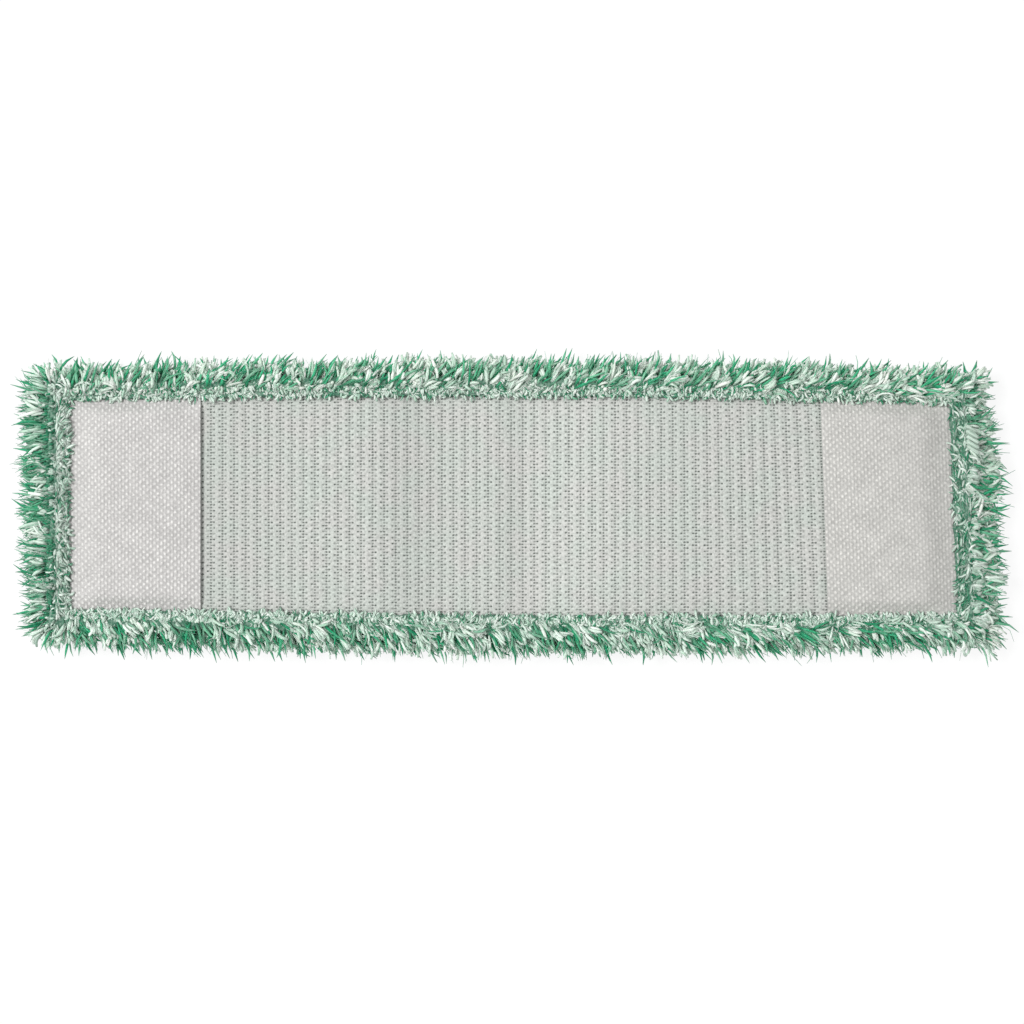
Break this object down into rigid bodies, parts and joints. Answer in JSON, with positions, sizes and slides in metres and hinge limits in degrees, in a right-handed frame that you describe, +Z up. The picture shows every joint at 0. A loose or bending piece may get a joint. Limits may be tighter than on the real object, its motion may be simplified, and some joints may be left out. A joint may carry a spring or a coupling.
{
  "type": "flat mop",
  "caption": "Rectangular flat mop cover with a knit back, a pocket at each end for a mop frame, and a green and white pile with a fringe; it folds across its middle.",
  "frame": {"origin": "middle of the floor face, under the middle of the cover", "axes": "+X along the cover, to the right in the picture; +Y across it, up in the picture; +Z up, out of the cover's back"},
  "size_m": [0.452, 0.139, 0.0176],
  "materials": {
    "knit_cloth": "matte warp-knit backing",
    "woven_cloth": "matte white woven cloth",
    "pile_cloth": "green and white microfibre pile",
    "thread": "white sewing thread"
  },
  "bodies": {
    "left_half": {"floor_pile_left": "pile_cloth", "base_cloth_left": "knit_cloth", "pocket_left": "woven_cloth", "front_hem_left": "pile_cloth", "back_hem_left": "pile_cloth", "end_hem_left": "pile_cloth", "front_seam_left": "thread", "back_seam_left": "thread", "end_seam_left": "thread"},
    "right_half": {"floor_pile_right": "pile_cloth", "base_cloth_right": "knit_cloth", "pocket_right": "woven_cloth", "front_hem_right": "pile_cloth", "back_hem_right": "pile_cloth", "end_hem_right": "pile_cloth", "front_seam_right": "thread", "back_seam_right": "thread", "end_seam_right": "thread"}
  },
  "joints": [
    {"name": "centre_fold", "type": "hinge", "parent": "left_half", "child": "right_half", "pos_m": [0, 0, 0.0179], "axis": [0, -1, 0], "range_deg": [0, 170]}
  ]
}
